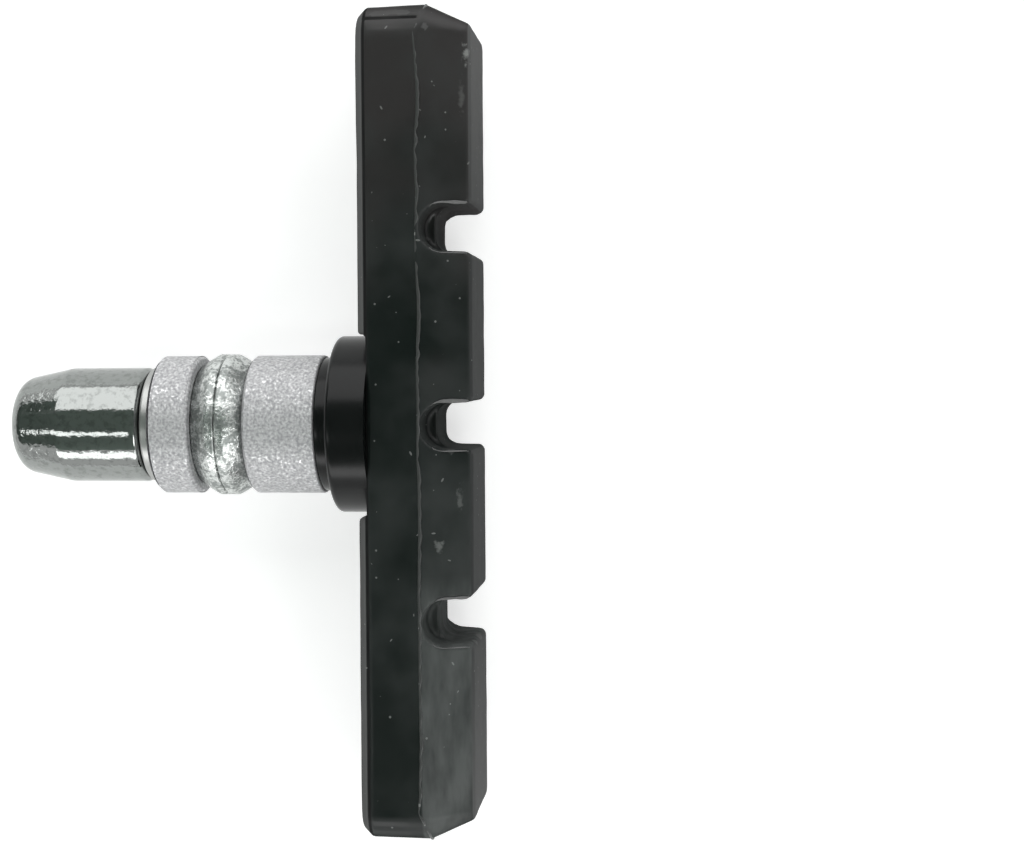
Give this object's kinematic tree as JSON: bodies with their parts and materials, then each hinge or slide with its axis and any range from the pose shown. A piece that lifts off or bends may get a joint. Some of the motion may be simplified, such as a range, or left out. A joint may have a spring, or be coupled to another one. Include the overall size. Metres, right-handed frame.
{
  "type": "rim brake shoe",
  "caption": "Long notched rubber brake shoe on a threaded post, with a seat collar, ball and cup washers that let it be angled, a flat washer and a round tapered nut.",
  "frame": {"origin": "on the post's axis, where the flat faces of the two ball washers meet and a brake arm is clamped", "axes": "+X along the post from the nut to the friction face, +Y along the shoe's length, +Z across the shoe's height"},
  "size_m": [0.0407, 0.0704, 0.0152],
  "materials": {
    "block_rubber": "moulded, slightly glossy, dusty",
    "plain_steel": "zinc plated",
    "collar_black": "turned, semi-gloss black",
    "cup_silver": "fine grained matt silver",
    "ball_zinc": "bright zinc, slightly rough",
    "nut_chrome": "bright chrome plate"
  },
  "bodies": {
    "shoe": {"shoe_block": "block_rubber", "carrier_plate": "plain_steel", "threaded_stud": "plain_steel", "seat_collar": "collar_black", "thick_cup_spacer": "cup_silver", "inner_ball_washer": "ball_zinc"},
    "outer_washers": {"outer_ball_washer": "ball_zinc", "thin_cup_washer": "cup_silver", "flat_washer": "plain_steel"},
    "nut": {"cap_nut": "nut_chrome"}
  },
  "joints": [
    {"name": "outer_washers_slide", "type": "slide", "parent": "shoe", "child": "outer_washers", "axis": [-1, 0, 0], "range_m": [0, 0.007]},
    {"name": "nut_turn", "type": "hinge", "parent": "outer_washers", "child": "nut", "pos_m": [0, 0, 0], "axis": [-1, 0, 0], "range_deg": [0, 2521]}
  ],
  "couplings": [
    {"joint": "nut_turn", "follows": "outer_washers_slide", "rad_per_m": 6283.2}
  ]
}
